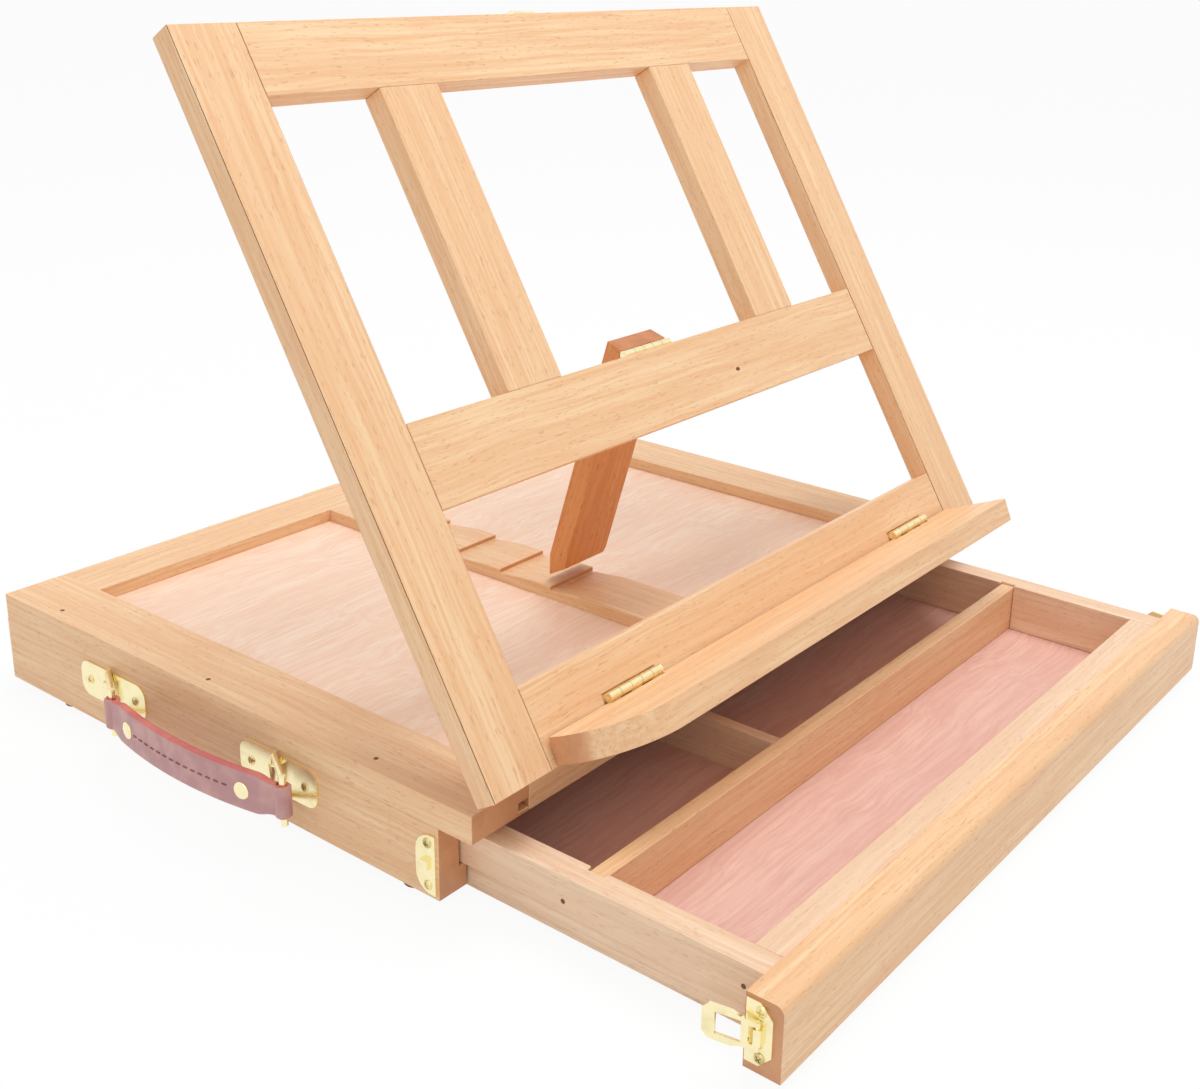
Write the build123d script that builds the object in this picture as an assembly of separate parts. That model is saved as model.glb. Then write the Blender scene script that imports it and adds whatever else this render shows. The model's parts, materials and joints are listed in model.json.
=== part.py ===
from build123d import *
import math
import os

# Sketch box easel in beech: a shallow box with a drawer, a fold-up picture frame on its lid,
# a ledge that holds the picture, a prop leg that drops into a notched strip, brass hardware
# and a leather carry handle. Millimetres, +X to the right, +Y to the back, +Z up.

# Box: outer size, walls and the rim round the recessed top
box_width = 340.0
box_depth = 269.0
feet_height = 4.3
foot_radius = 4.8
foot_inset = 8.4
foot_front_y = -100.0
foot_back_y = 102.0
rim_top = 42.6
rim_thickness = 10.6
side_rail_width = 27.6
back_rail_width = 25.6
front_rail_width = 26.5
recess_depth = 5.8
panel_thickness = 3.0
panel_groove = 5.0
wall_thickness = 9.5
runner_step = 3.3
runner_top = 13.2
back_wall_thickness = 8.0
wall_setback = 15.2
corner_rabbet = 4.5
fit_gap = 0.15
edge_round = 0.8

# Notched strip glued along the recess
strip_width = 29.0
strip_center_x = -2.0
notch_count = 4
notch_lead = 6.0
notch_pitch = 29.6
notch_depth = 2.0
notch_crest = 12.0

# Drawer: shown pulled out by drawer_open
drawer_open = 122.2
drawer_side_gap = 1.2
drawer_side_thickness = 10.0
drawer_bottom_z = 3.0
drawer_top_z = 27.8
drawer_floor_thickness = 3.0
drawer_floor_groove = 3.0
drawer_length = 240.0
drawer_front_thickness = 11.2
drawer_back_thickness = 8.0
bar_thickness = 13.0
bar_bottom_z = 3.3
bar_top_z = 29.2
bar_round = 3.0
partition_thickness = 6.5
partition_offset = 62.7
partition_drop = 1.0
divider_thickness = 5.5
divider_center_x = -37.5
divider_drop = 4.0
dado_depth = 2.0

# Easel frame, laid out flat from its hinge line and then tilted up
frame_width = 338.0
frame_tilt = 58.6
frame_thickness = 9.5
frame_bottom_gap = 1.8
stile_width = 27.5
bottom_rail_width = 29.2
middle_rail_start = 92.9
middle_rail_width = 30.9
top_rail_width = 27.0
slat_width = 28.6
slat_left_center = -77.6
slat_right_center = 79.1
tenon_length = 10.0
tenon_thickness = 3.2

# Brass butt hinges: five knuckles round a pin
hinge_length = 29.4
knuckle_radius = 1.8
knuckle_count = 5
knuckle_play = 0.16
pin_radius = 0.85
pin_clearance = 0.05
leaf_thickness = 0.75
leaf_play = 0.1
frame_leaf_reach = 14.0
small_leaf_reach = 9.6
frame_hinge_x = 95.0

# Ledge, hinged on the face of the bottom rail
ledge_left_gap = 2.5
ledge_right_gap = 0.5
ledge_depth = 32.6
ledge_thickness = 9.8
ledge_droop = 8.0
ledge_corner_radius = 30.0
ledge_small_radius = 2.5
ledge_pin_height = 12.0
ledge_pin_standoff = 1.95
ledge_top_drop = 1.65
ledge_back_offset = -0.1
ledge_hinge_left_x = -93.0
ledge_hinge_right_x = 106.0

# Prop leg, hinged on the back of the middle rail
prop_angle = 73.2
prop_width = 27.7
prop_thickness = 9.0
prop_tip_gap = 2.0
prop_toe_cut = 9.5
prop_head = 1.5
prop_pin_rise = 2.0
prop_trim_length = 12.0
prop_trim_side = 3.0

# Sheet brass latches: a plate with a bridge, a swinging hook and a strike with a tongue
latch_height = 17.4
latch_plate_length = 21.5
latch_plate_front = 4.4
latch_plate_back = 4.8
latch_plate_corner = 4.5
latch_plate_thickness = 0.8
latch_pivot_rise = 1.75
latch_bar_radius = 0.8
latch_bridge_half = 2.7
latch_bridge_wall = 0.65
latch_pivot_inset = 5.6
hook_reach = 17.3
hook_half_height = 6.0
hook_root_half = 4.9
hook_thickness = 1.0
hook_window_start = 5.0
hook_window_end = 13.2
hook_window_half = 3.7
hook_bridge_gap = 2.7
hook_slot_half = 3.1
hook_lift = 10.0
strike_near = 6.6
strike_far = 15.6
strike_length = 22.5
tongue_center = 10.9
tongue_length = 3.0
tongue_width = 4.0
tongue_rise = 2.5
screw_head_radius = 1.9
screw_head_rise = 0.9
screw_shank_radius = 1.1
screw_shank_length = 5.0
screw_head_sides = 12
screw_shank_sides = 8
latch_screw_half = 7.9
catch_pivot_inset = 4.9

# Leather handle on two brass rings
handle_height = 23.0
handle_back_y = 60.0
handle_front_y = -39.5
handle_plate_length = 42.0
handle_plate_height = 15.0
handle_plate_thickness = 0.8
handle_screw_half = 14.6
ring_wire_radius = 1.3
ring_length = 18.0
ring_half_height = 8.4
ring_angle = 30.0
curl_wall = 0.8
curl_half = 4.6
strap_height = 15.6
strap_taper = 5.0
strap_end_gap = 0.9
open_pivot_gap = 0.3
strap_thickness = 3.4
strap_bulge = 6.0
strap_end_radius = 3.1
rivet_radius = 3.4
rivet_rise = 0.6
rivet_seat = 0.12
rivet_shank_radius = 1.4
rivet_inset = 17.0

# Levels and places worked out from the sizes above
half_width = box_width / 2
half_depth = box_depth / 2
rim_bottom = rim_top - rim_thickness
panel_top = rim_top - recess_depth
panel_bottom = panel_top - panel_thickness
recess_half_x = half_width - side_rail_width
recess_back_y = half_depth - back_rail_width
recess_front_y = -half_depth + front_rail_width
wall_front_y = -half_depth + wall_setback
wall_inner_x = half_width - wall_thickness
runner_inner_x = wall_inner_x - runner_step
hinge_axis = (0.0, -half_depth - frame_bottom_gap, rim_top + leaf_thickness + leaf_play / 2)
leaf_lift = leaf_thickness + leaf_play / 2
frame_length = box_depth
frame_half = frame_width / 2
opening_half = frame_half - stile_width
middle_rail_end = middle_rail_start + middle_rail_width
top_rail_start = frame_length - top_rail_width
bar_back_y = wall_front_y - drawer_open
drawer_back_y = bar_back_y + drawer_length
drawer_outer_x = wall_inner_x - drawer_side_gap
drawer_inner_x = drawer_outer_x - drawer_side_thickness
drawer_runner_x = runner_inner_x - drawer_side_gap
drawer_step_z = runner_top + drawer_side_gap / 2
floor_bottom_z = drawer_bottom_z
floor_top_z = floor_bottom_z + drawer_floor_thickness
front_inner_y = bar_back_y + drawer_front_thickness
partition_front_y = front_inner_y + partition_offset - partition_thickness
partition_back_y = partition_front_y + partition_thickness
bar_front_y = bar_back_y - bar_thickness
prop_fold = frame_tilt + prop_angle
ledge_left_x = ledge_left_gap - opening_half
ledge_right_x = opening_half - ledge_right_gap

# The leg is cut so that its tip stands just over the strip, behind the wall of the first notch
tilt_sin, tilt_cos = math.sin(math.radians(frame_tilt)), math.cos(math.radians(frame_tilt))
prop_sin, prop_cos = math.sin(math.radians(prop_angle)), math.cos(math.radians(prop_angle))
prop_pin_along = middle_rail_end + prop_pin_rise + frame_bottom_gap
prop_pin_y = hinge_axis[1] + prop_pin_along * tilt_cos
prop_pin_z = hinge_axis[2] + prop_pin_along * tilt_sin
prop_back = leaf_lift + prop_thickness
prop_length = (prop_pin_z + prop_back * prop_cos - rim_top - prop_tip_gap) / prop_sin
prop_front_length = prop_length - prop_toe_cut
prop_tip_y = prop_pin_y + prop_length * prop_cos + prop_back * prop_sin
notch_first_y = prop_tip_y - notch_lead

nodes = {}


def prism_x(points, x0, x1):
    """A profile drawn in (y, z), run from x0 to x1."""
    base = Plane(origin=(x0, 0, 0), x_dir=(0, 1, 0), z_dir=(1, 0, 0))
    return extrude(base * make_face(Polyline(*points, close=True)), amount=x1 - x0)


def prism_y(points, y0, y1):
    """A profile drawn in (x, z), run from y0 to y1."""
    base = Plane(origin=(0, y1, 0), x_dir=(1, 0, 0), z_dir=(0, -1, 0))
    return extrude(base * make_face(Polyline(*points, close=True)), amount=y1 - y0)


def prism_z(points, z0, z1):
    """A profile drawn in (x, y), run from z0 to z1."""
    base = Plane.XY.offset(z0)
    return extrude(base * make_face(Polyline(*points, close=True)), amount=z1 - z0)


def bar(x0, x1, y0, y1, z0, z1):
    """A square-edged stick between two corners."""
    return prism_z([(x0, y0), (x1, y0), (x1, y1), (x0, y1)], z0, z1)


def ease(solid, axis, amount=edge_round):
    """Breaks the long arrises of a stick, as sandpaper does."""
    return chamfer(solid.edges().filter_by(axis), amount / 2)


def rod(center, axis, radius, length):
    """A round bar centred on a point."""
    turn = {"X": Rot(0, 90, 0), "Y": Rot(90, 0, 0), "Z": Rot(0, 0, 0)}[axis]
    return Pos(*center) * turn * Cylinder(radius, length)


# Box rim: four rails, grooved inside for the panel, tongued at the corners
def rail_profile(inner, outer):
    """Section of a rim rail from its inner edge to its outer edge, with the panel groove."""
    sign = 1 if outer > inner else -1
    deep = inner + sign * (panel_groove + fit_gap)
    low = panel_bottom - fit_gap
    return [(inner, rim_bottom), (outer, rim_bottom), (outer, rim_top), (inner, rim_top),
            (inner, panel_top), (deep, panel_top), (deep, low), (inner, low)]


def side_rail(sign):
    profile = rail_profile(sign * recess_half_x, sign * half_width)
    return prism_y(profile, -half_depth, half_depth)


nodes["rim_left_rail"] = side_rail(-1)
nodes["rim_right_rail"] = side_rail(1)
nodes["rim_back_rail"] = prism_x(rail_profile(recess_back_y, half_depth), -recess_half_x, recess_half_x)
nodes["rim_front_rail"] = prism_x(rail_profile(recess_front_y, -half_depth), -recess_half_x, recess_half_x)

# Plywood panel, let into the grooves of the side rails and of the front and back rails
panel_half_x = recess_half_x + panel_groove
nodes["top_panel"] = bar(-panel_half_x, panel_half_x, recess_front_y - panel_groove,
                         recess_back_y + panel_groove, panel_bottom, panel_top)
corner_posts = [(sx, sy) for sx in (-1, 1) for sy in (-1, 1)]
for sx, sy in corner_posts:
    edge_y = recess_back_y if sy > 0 else recess_front_y
    x0 = sx * recess_half_x
    notch = bar(min(x0, sx * panel_half_x), max(x0, sx * panel_half_x),
                min(edge_y, edge_y + sy * panel_groove), max(edge_y, edge_y + sy * panel_groove),
                panel_bottom, panel_top)
    nodes["top_panel"] -= notch


# Notched strip: each notch has an upright wall facing front and a ramp up to the next crest
def strip_outline():
    points = [(recess_front_y, panel_top), (recess_back_y, panel_top), (recess_back_y, rim_top)]
    for index in reversed(range(notch_count)):
        wall_y = notch_first_y + index * notch_pitch
        ramp_start = wall_y - notch_pitch + notch_crest
        points += [(wall_y, rim_top), (wall_y, rim_top - notch_depth), (ramp_start, rim_top)]
    return points + [(recess_front_y, rim_top)]


nodes["notched_strip"] = prism_x(strip_outline(), strip_center_x - strip_width / 2,
                                 strip_center_x + strip_width / 2)


# Box sides: a lip inside carries the drawer; the back wall sits in a corner rabbet
def box_side(sign):
    outer, inner, lip = sign * half_width, sign * wall_inner_x, sign * runner_inner_x
    wall = prism_y([(outer, feet_height), (lip, feet_height), (lip, runner_top), (inner, runner_top),
                    (inner, rim_bottom), (outer, rim_bottom)], wall_front_y, half_depth)
    rabbet_x = sign * (half_width - corner_rabbet)
    cut = bar(min(lip, rabbet_x), max(lip, rabbet_x), half_depth - back_wall_thickness, half_depth,
              feet_height, rim_bottom)
    return wall - cut


nodes["box_left_side"] = box_side(-1)
nodes["box_right_side"] = box_side(1)
nodes["box_back"] = bar(-half_width + corner_rabbet, half_width - corner_rabbet,
                        half_depth - back_wall_thickness, half_depth, feet_height, rim_bottom)


def foot(x, y):
    """A turned wooden button with a flat face to stand on."""
    disc = Pos(x, y, feet_height / 2) * Cylinder(foot_radius, feet_height)
    return disc


foot_x = half_width - foot_inset
nodes["feet"] = [foot(sx * foot_x, y) for sx in (-1, 1) for y in (foot_front_y, foot_back_y)]


# Butt hinge about the X axis: the plate runs toward +Y on one side of the pin plane
def hinge_leaf(own, side, reach, center_x):
    step = hinge_length / knuckle_count
    inner = pin_radius + pin_clearance
    skin = (side * leaf_play / 2, side * (leaf_play / 2 + leaf_thickness))
    neck_end = knuckle_radius + 2 * knuckle_play
    left = center_x - hinge_length / 2
    leaf = bar(left, left + hinge_length, neck_end, reach, min(skin), max(skin))
    for index in own:
        x0 = left + index * step + knuckle_play / 2
        x1 = left + (index + 1) * step - knuckle_play / 2
        barrel = rod(((x0 + x1) / 2, 0, 0), "X", knuckle_radius, x1 - x0)
        neck = bar(x0, x1, 0, neck_end, min(skin), max(skin))
        bore = rod(((x0 + x1) / 2, 0, 0), "X", inner, x1 - x0)
        leaf = leaf + (barrel + neck - bore)
    return leaf


def hinge_pin(center_x):
    return rod((center_x, 0, 0), "X", pin_radius, hinge_length)


outer_knuckles = range(0, knuckle_count, 2)
inner_knuckles = range(1, knuckle_count, 2)
hinge_sides = (-1, 1)
at_hinge = Pos(*hinge_axis)
frame_place = at_hinge * Rot(frame_tilt, 0, 0)

nodes["frame_hinge_lower_leaves"] = [
    at_hinge * hinge_leaf(outer_knuckles, -1, frame_leaf_reach, s * frame_hinge_x) for s in hinge_sides]
nodes["frame_hinge_pins"] = [at_hinge * hinge_pin(s * frame_hinge_x) for s in hinge_sides]
nodes["frame_hinge_upper_leaves"] = [
    frame_place * hinge_leaf(inner_knuckles, 1, frame_leaf_reach, s * frame_hinge_x) for s in hinge_sides]


# Easel frame, drawn lying on the closed box: x, distance from the hinge line, height above it
def along(v):
    """Distance from the hinge line of a point v up the frame from its bottom edge."""
    return v + frame_bottom_gap


frame_low = leaf_lift
frame_high = leaf_lift + frame_thickness
tenon_low = frame_low + (frame_thickness - tenon_thickness) / 2
tenon_high = tenon_low + tenon_thickness
rail_spans = {"bottom_rail": (0.0, bottom_rail_width), "middle_rail": (middle_rail_start, middle_rail_end),
              "top_rail": (top_rail_start, frame_length)}
tenon_shoulder = 3.0


def stile(sign):
    x0, x1 = sorted((sign * opening_half, sign * frame_half))
    body = ease(bar(x0, x1, along(0), along(frame_length), frame_low, frame_high), Axis.Y)
    for start, end in rail_spans.values():
        t0, t1 = sorted((sign * opening_half, sign * (opening_half + tenon_length + fit_gap)))
        body -= bar(t0, t1, along(start + tenon_shoulder - fit_gap), along(end - tenon_shoulder + fit_gap),
                    tenon_low - fit_gap, tenon_high + fit_gap)
    return body


def frame_rail(start, end):
    body = bar(-opening_half, opening_half, along(start), along(end), frame_low, frame_high)
    reach = opening_half + tenon_length
    tenons = bar(-reach, reach, along(start + tenon_shoulder), along(end - tenon_shoulder),
                 tenon_low, tenon_high)
    return body + tenons


def slat(center_x):
    return bar(center_x - slat_width / 2, center_x + slat_width / 2, along(middle_rail_end),
               along(top_rail_start), frame_low, frame_high)


ledge_pin = (0.0, along(ledge_pin_height), frame_high + ledge_pin_standoff)
prop_pin = (0.0, along(middle_rail_end + prop_pin_rise), 0.0)
ledge_hinge_x = (ledge_hinge_left_x, ledge_hinge_right_x)
ledge_rest = frame_place * Pos(*ledge_pin) * Rot(ledge_droop, 0, 0)
prop_rest = frame_place * Pos(*prop_pin) * Rot(-prop_fold, 0, 0)

nodes["stile_left"] = frame_place * stile(-1)
nodes["stile_right"] = frame_place * stile(1)
bottom_rail = frame_rail(*rail_spans["bottom_rail"])
for x in ledge_hinge_x:
    pocket_low = ledge_pin[1] - small_leaf_reach - fit_gap
    bottom_rail -= bar(x - hinge_length / 2 - fit_gap, x + hinge_length / 2 + fit_gap, pocket_low,
                       ledge_pin[1] + knuckle_radius, frame_high - leaf_thickness, frame_high)
nodes["bottom_rail"] = frame_place * bottom_rail
nodes["middle_rail"] = frame_place * frame_rail(*rail_spans["middle_rail"])
nodes["top_rail"] = frame_place * frame_rail(*rail_spans["top_rail"])
nodes["slat_left"] = frame_place * slat(slat_left_center)
nodes["slat_right"] = frame_place * slat(slat_right_center)


# Ledge hinge: both leaves hang below the pin, one let into the rail, one into the ledge's back
def hanging_leaf(own, surface, center_x):
    """Leaf whose plate runs down from the pin, with its face at the given distance out."""
    side = 1 if surface > 0 else -1
    step = hinge_length / knuckle_count
    left = center_x - hinge_length / 2
    skin = sorted((surface, surface + leaf_thickness))
    plate = bar(left, left + hinge_length, -small_leaf_reach, -knuckle_radius - 2 * knuckle_play, *skin)
    for index in own:
        x0 = left + index * step + knuckle_play / 2
        x1 = left + (index + 1) * step - knuckle_play / 2
        mid = (x0 + x1) / 2
        curl = sorted((surface, side * knuckle_radius / 2)) if abs(surface) > knuckle_radius else skin
        neck = bar(x0, x1, -knuckle_radius - 2 * knuckle_play, 0, *curl)
        barrel = rod((mid, 0, 0), "X", knuckle_radius, x1 - x0)
        bore = rod((mid, 0, 0), "X", pin_radius + pin_clearance, x1 - x0)
        plate = plate + (barrel + neck - bore)
    return plate


fixed_face = -ledge_pin_standoff - leaf_thickness
ledge_fixed = frame_place * Pos(*ledge_pin)
nodes["ledge_hinge_fixed_leaves"] = [ledge_fixed * hanging_leaf(inner_knuckles, fixed_face, x)
                                     for x in ledge_hinge_x]
nodes["ledge_hinge_pins"] = [ledge_fixed * hinge_pin(x) for x in ledge_hinge_x]
nodes["ledge_hinge_moving_leaves"] = [ledge_rest * hanging_leaf(outer_knuckles, ledge_back_offset, x)
                                      for x in ledge_hinge_x]


def ledge_board():
    """Drawn at the pin: x along, y up, z outward; a big round on the left corner."""
    back, front = ledge_back_offset, ledge_back_offset + ledge_depth
    left, right = ledge_left_x, ledge_right_x
    outline = make_face(Polyline((left, back), (right, back), (right, front), (left, front), close=True))
    corners = outline.vertices().group_by(Axis.Y)[-1].sort_by(Axis.X)
    outline = fillet(corners[0], ledge_corner_radius)
    corners = outline.vertices().group_by(Axis.Y)[-1].sort_by(Axis.X)
    outline = fillet(corners[-1], ledge_small_radius)
    base = Plane(origin=(0, -ledge_top_drop, 0), x_dir=(1, 0, 0), z_dir=(0, 1, 0))
    flipped = mirror(outline, about=Plane.XZ)
    board = extrude(base * flipped, amount=-ledge_thickness)
    for x in ledge_hinge_x:
        half = hinge_length / 2 + fit_gap
        board -= bar(x - half, x + half, -small_leaf_reach - fit_gap, 0, back, back + leaf_thickness)
        seat = knuckle_radius + fit_gap
        board -= bar(x - half, x + half, -seat, seat, back, seat)
    return board


nodes["ledge_board"] = ledge_rest * ledge_board()


# Prop hinge: one leaf under the middle rail, one on the front face of the leg
def turned_leaf(own, side, center_x):
    """The same butt hinge with its plate running toward -Y."""
    return mirror(hinge_leaf(own, side, small_leaf_reach, center_x), about=Plane.XZ)


prop_fixed = frame_place * Pos(*prop_pin)
nodes["prop_hinge_fixed_leaf"] = prop_fixed * turned_leaf(inner_knuckles, 1, 0.0)
nodes["prop_hinge_pin"] = prop_fixed * hinge_pin(0.0)
nodes["prop_hinge_moving_leaf"] = prop_rest * hinge_leaf(outer_knuckles, 1, small_leaf_reach, 0.0)


def prop_leg():
    """Drawn folded into the frame: y along the leg from its pin, z through its thickness."""
    low, high = leaf_lift, leaf_lift + prop_thickness
    leg = prism_x([(-prop_head, low), (prop_front_length, low), (prop_length, high), (-prop_head, high)],
                  -prop_width / 2, prop_width / 2)
    leg = ease(leg, Axis.X)
    half = prop_width / 2
    start = prop_length - prop_trim_length
    for sign in (-1, 1):
        corner = [(sign * half, start), (sign * (half + 1), start), (sign * (half + 1), prop_length + 1),
                  (sign * (half - prop_trim_side - 1), prop_length + 1)]
        leg -= prism_z(corner, low - 1, high + 1)
    return leg - rod((0, 0, 0), "X", knuckle_radius + fit_gap, prop_width + 1)


nodes["prop_leg"] = prop_rest * prop_leg()


# Drawer: stepped sides that ride on the lips of the box, a ply floor and two dividers
def drawer_side(sign):
    outer, inner, low_x = sign * drawer_outer_x, sign * drawer_inner_x, sign * drawer_runner_x
    side = prism_y([(inner, drawer_bottom_z), (low_x, drawer_bottom_z), (low_x, drawer_step_z),
                    (outer, drawer_step_z), (outer, drawer_top_z), (inner, drawer_top_z)],
                   bar_back_y, drawer_back_y)
    groove_x = sorted((inner, inner + sign * (drawer_floor_groove + fit_gap)))
    side -= bar(*groove_x, bar_back_y, drawer_back_y, floor_bottom_z, floor_top_z + fit_gap)
    dado_x = sorted((inner, inner + sign * dado_depth))
    side -= bar(*dado_x, partition_front_y - fit_gap, partition_back_y + fit_gap, floor_top_z, drawer_top_z)
    return side


nodes["drawer_left_side"] = drawer_side(-1)
nodes["drawer_right_side"] = drawer_side(1)
floor_half = drawer_inner_x + drawer_floor_groove
nodes["drawer_floor"] = bar(-floor_half, floor_half, bar_back_y, drawer_back_y, floor_bottom_z, floor_top_z)
nodes["drawer_inner_front"] = bar(-drawer_inner_x, drawer_inner_x, bar_back_y, front_inner_y,
                                  floor_top_z, drawer_top_z)
nodes["drawer_back"] = bar(-drawer_inner_x, drawer_inner_x, drawer_back_y - drawer_back_thickness,
                           drawer_back_y, floor_top_z, drawer_top_z)
partition_reach = drawer_inner_x + dado_depth - fit_gap
partition_top = drawer_top_z - partition_drop
divider_top = drawer_top_z - divider_drop
divider_left_x = divider_center_x - divider_thickness / 2
divider_right_x = divider_center_x + divider_thickness / 2
partition = bar(-partition_reach, partition_reach, partition_front_y, partition_back_y,
                floor_top_z, partition_top)
nodes["drawer_long_partition"] = partition
nodes["drawer_short_divider"] = bar(divider_left_x, divider_right_x, partition_back_y,
                                    drawer_back_y - drawer_back_thickness, floor_top_z, divider_top)


def front_bar():
    stick = bar(-half_width, half_width, bar_front_y, bar_back_y, bar_bottom_z, bar_top_z)
    top_front = stick.edges().filter_by(Axis.X).group_by(Axis.Z)[-1].sort_by(Axis.Y)[0]
    return fillet(top_front, bar_round)


nodes["drawer_front_bar"] = front_bar()


# Round-head screw standing on a plate: drawn along +Z from the wood surface
def screw(plate_thickness):
    """A screw drawn with few sides, because there are many: its head on the plate, its shank below."""
    head = Pos(0, 0, plate_thickness) * extrude(RegularPolygon(screw_head_radius, screw_head_sides),
                                                amount=screw_head_rise)
    shank = Pos(0, 0, -screw_shank_length) * extrude(RegularPolygon(screw_shank_radius, screw_shank_sides),
                                                     amount=screw_shank_length + plate_thickness)
    return head + shank


def pilot():
    """The hole that a screw needs in the wood and in its plate."""
    hole = RegularPolygon(screw_shank_radius + 2 * pin_clearance, screw_shank_sides)
    return extrude(hole, amount=screw_shank_length + fit_gap, both=True)


# Latch pieces, drawn flat: x toward the strike, y along the plate, z away from the wood
def latch_base():
    half = latch_plate_length / 2
    c = latch_plate_corner
    outline = [(latch_plate_back, -half), (latch_plate_back, half), (0, half),
               (-latch_plate_front, half - c), (-latch_plate_front, c - half), (0, -half)]
    plate = prism_z(outline, 0, latch_plate_thickness)
    inner = latch_bar_radius + pin_clearance
    outer = inner + latch_bridge_wall
    width = 2 * latch_bridge_half
    bridge = rod((0, 0, latch_pivot_rise), "Y", outer, width)
    bridge += bar(-outer, outer, -latch_bridge_half, latch_bridge_half, 0, latch_pivot_rise)
    bridge -= rod((0, 0, latch_pivot_rise), "Y", inner, width)
    base = plate + bridge
    return base


def latch_hook():
    low, high = -hook_thickness / 2, hook_thickness / 2
    shoulder = hook_window_start
    outline = [(0, -hook_root_half), (shoulder, -hook_root_half), (shoulder + 3, -hook_half_height),
               (hook_reach - 2, -hook_half_height), (hook_reach, 2 - hook_half_height),
               (hook_reach, hook_half_height - 2), (hook_reach - 2, hook_half_height),
               (shoulder + 3, hook_half_height), (shoulder, hook_root_half), (0, hook_root_half)]
    hook = prism_z(outline, low, high)
    hook -= bar(hook_window_start, hook_window_end, -hook_window_half, hook_window_half, low, high)
    hook -= bar(-1, hook_bridge_gap, -hook_slot_half, hook_slot_half, low, high)
    return hook + rod((0, 0, 0), "Y", latch_bar_radius, 2 * hook_root_half)


def latch_strike():
    half = strike_length / 2
    depth = strike_far - strike_near
    outline = make_face(Polyline((strike_near, -half), (strike_far, -half), (strike_far, half),
                                 (strike_near, half), close=True))
    outline = fillet(outline.vertices().group_by(Axis.X)[-1], depth * 0.8)
    plate = extrude(outline, amount=latch_plate_thickness)
    tongue = bar(tongue_center - tongue_length / 2, tongue_center + tongue_length / 2,
                 -tongue_width / 2, tongue_width / 2, 0, tongue_rise)
    tongue = fillet(tongue.edges().filter_by(Axis.Y).group_by(Axis.Z)[-1], tongue_length * 0.3)
    return plate + tongue


def upright(x, y, z, sign):
    """Places a flat-drawn latch piece on a side face of the box, its strike end to the back."""
    base = Plane(origin=(x, y, z), x_dir=(0, 1, 0), z_dir=(sign, 0, 0))
    return Location(base)


pivot_y = bar_back_y - latch_pivot_inset
closed_pivot_y = wall_front_y - latch_pivot_inset
screw_spots = [(-0.4, -latch_screw_half), (-0.4, latch_screw_half)]
strike_screw_x = strike_near + 3.4
strike_screw_half = strike_length / 2 - 3.2
strike_spots = [(strike_screw_x, -strike_screw_half), (strike_screw_x, strike_screw_half)]


def place_at(location, x, y):
    return location * Pos(x, y, 0)


latch_bases, latch_screws, strikes, box_screws = [], [], [], []
for sign, side_name in ((-1, "left"), (1, "right")):
    base_at = upright(sign * half_width, pivot_y, latch_height, sign)
    strike_at = upright(sign * half_width, closed_pivot_y, latch_height, sign)
    plate = latch_base()
    strike = latch_strike()
    wall_name = "box_%s_side" % side_name
    for x, y in screw_spots:
        plate -= Pos(x, y, 0) * pilot()
        latch_screws.append(place_at(base_at, x, y) * screw(latch_plate_thickness))
        nodes["drawer_front_bar"] -= place_at(base_at, x, y) * pilot()
    for x, y in strike_spots:
        strike -= Pos(x, y, 0) * pilot()
        box_screws.append(place_at(strike_at, x, y) * screw(latch_plate_thickness))
        nodes[wall_name] -= place_at(strike_at, x, y) * pilot()
    latch_bases.append(base_at * plate)
    strikes.append(strike_at * strike)
    lift = Rot(0, -hook_lift, 0)
    nodes["latch_hook_" + side_name] = base_at * Pos(0, 0, latch_pivot_rise) * lift * latch_hook()

nodes["latch_bases"] = latch_bases
nodes["latch_screws"] = latch_screws

# Top catch: the same latch, its base on the end of the frame and its strike on the box's back
catch_at_local = Plane(origin=(0, along(frame_length), frame_low + catch_pivot_inset),
                       x_dir=(0, 0, -1), z_dir=(0, 1, 0))
catch_at = frame_place * Location(catch_at_local)
catch_closed = at_hinge * Location(catch_at_local)
catch_plate = latch_base()
catch_screws = []
for x, y in screw_spots:
    catch_plate -= Pos(x, y, 0) * pilot()
    catch_screws.append(catch_at * Pos(x, y, 0) * screw(latch_plate_thickness))
    nodes["top_rail"] -= catch_at * Pos(x, y, 0) * pilot()
nodes["catch_base"] = catch_at * catch_plate
nodes["catch_screws"] = catch_screws
nodes["catch_hook"] = catch_at * Pos(0, 0, latch_pivot_rise) * Rot(0, -hook_lift, 0) * latch_hook()
back_strike = latch_strike()
for x, y in strike_spots:
    back_strike -= Pos(x, y, 0) * pilot()
    box_screws.append(catch_closed * Pos(x, y, 0) * screw(latch_plate_thickness))
    nodes["rim_back_rail"] -= catch_closed * Pos(x, y, 0) * pilot()
strikes.append(catch_closed * back_strike)
nodes["latch_strikes"] = strikes


# Handle: each plate has an upright curl that holds one side of a wire ring
def handle_plate():
    half, tall = handle_plate_length / 2, handle_plate_height / 2
    outline = make_face(Polyline((-half, -tall), (half, -tall), (half, tall), (-half, tall), close=True))
    outline = fillet(outline.vertices(), tall * 0.7)
    plate = extrude(outline, amount=handle_plate_thickness)
    inner = ring_wire_radius + pin_clearance
    outer = inner + curl_wall
    rise = handle_plate_thickness + ring_wire_radius + pin_clearance
    curl = rod((0, 0, rise), "Y", outer, 2 * curl_half)
    curl += bar(-outer, outer, -curl_half, curl_half, 0, rise)
    curl -= rod((0, 0, rise), "Y", inner, 2 * curl_half)
    plate += curl
    for x in (-handle_screw_half, handle_screw_half):
        plate -= Pos(x, 0, 0) * pilot()
    return plate


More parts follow.
